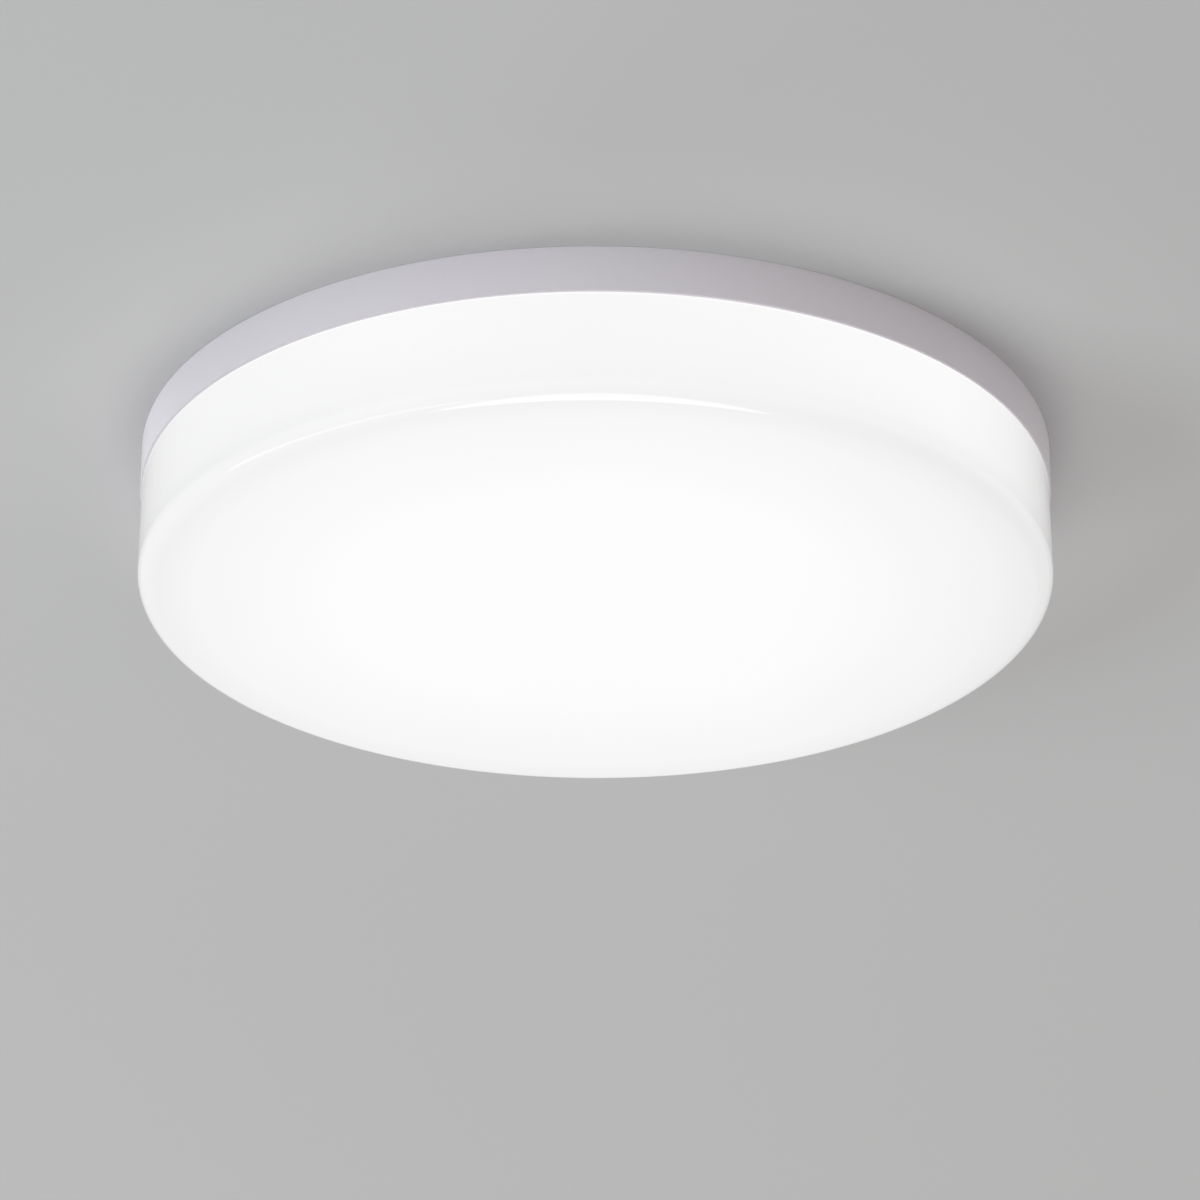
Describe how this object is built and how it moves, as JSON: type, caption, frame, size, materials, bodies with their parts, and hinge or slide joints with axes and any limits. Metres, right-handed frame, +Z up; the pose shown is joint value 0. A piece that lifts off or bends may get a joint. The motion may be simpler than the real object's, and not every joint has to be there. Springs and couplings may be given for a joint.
{
  "type": "flush ceiling light",
  "caption": "Round flush LED ceiling light: white base pan against the ceiling and an opal cover that twists off its bayonet over an LED board and driver.",
  "frame": {"origin": "centre of the back, on the ceiling", "axes": "+Z up into the ceiling, so the light hangs towards -Z; -Y is the side nearest the picture's viewer, and +X runs between the two screw slots"},
  "size_m": [0.3018, 0.3018, 0.0508],
  "materials": {
    "moulded_white": "fine moulded texture, matte white",
    "black_foam": "closed-cell foam",
    "grey_silicone": "smooth silicone",
    "black_rubber": "moulded rubber",
    "clamp_nylon": "satin nylon",
    "terminal_nylon": "moulded nylon",
    "brass": "machined",
    "zinc_plated_steel": "bright zinc plating",
    "driver_polycarbonate": "satin moulding",
    "circuit_laminate": "green solder mask",
    "ferrite": "sintered core under yellow tape",
    "capacitor_sleeve": "shrink sleeve",
    "board_white": "white solder mask on aluminium",
    "connector_nylon": "natural nylon",
    "live_insulation": "brown insulation",
    "neutral_insulation": "blue insulation",
    "positive_insulation": "red insulation",
    "negative_insulation": "black insulation",
    "opal_acrylic": "opal, satin outside, lit from inside"
  },
  "bodies": {
    "base": {"base_pan": "moulded_white", "back_gasket": "black_foam", "seal_ring": "grey_silicone", "cable_grommet": "black_rubber", "cord_clamp": "clamp_nylon", "cord_clamp_screw_1": "zinc_plated_steel", "cord_clamp_screw_2": "zinc_plated_steel", "terminal_block": "terminal_nylon", "terminal_fixing_screw": "zinc_plated_steel", "live_barrel": "brass", "live_terminal_screw_1": "zinc_plated_steel", "live_terminal_screw_2": "zinc_plated_steel", "neutral_barrel": "brass", "neutral_terminal_screw_1": "zinc_plated_steel", "neutral_terminal_screw_2": "zinc_plated_steel", "driver_case": "driver_polycarbonate", "driver_screw_1": "zinc_plated_steel", "driver_screw_2": "zinc_plated_steel", "driver_lid": "driver_polycarbonate", "driver_circuit_board": "circuit_laminate", "transformer": "ferrite", "capacitor": "capacitor_sleeve", "led_board": "board_white", "led_board_screw_1": "zinc_plated_steel", "led_board_screw_2": "zinc_plated_steel", "led_board_screw_3": "zinc_plated_steel", "led_board_screw_4": "zinc_plated_steel", "led_board_screw_5": "zinc_plated_steel", "led_connector": "connector_nylon", "live_lead": "live_insulation", "neutral_lead": "neutral_insulation", "led_positive_lead": "positive_insulation", "led_negative_lead": "negative_insulation"},
    "cover": {"diffuser": "opal_acrylic"}
  },
  "joints": [
    {"name": "cover_twist", "type": "hinge", "parent": "base", "child": "cover", "pos_m": [0, 0, 0], "axis": [0, 0, -1], "range_deg": [0, 20]}
  ]
}
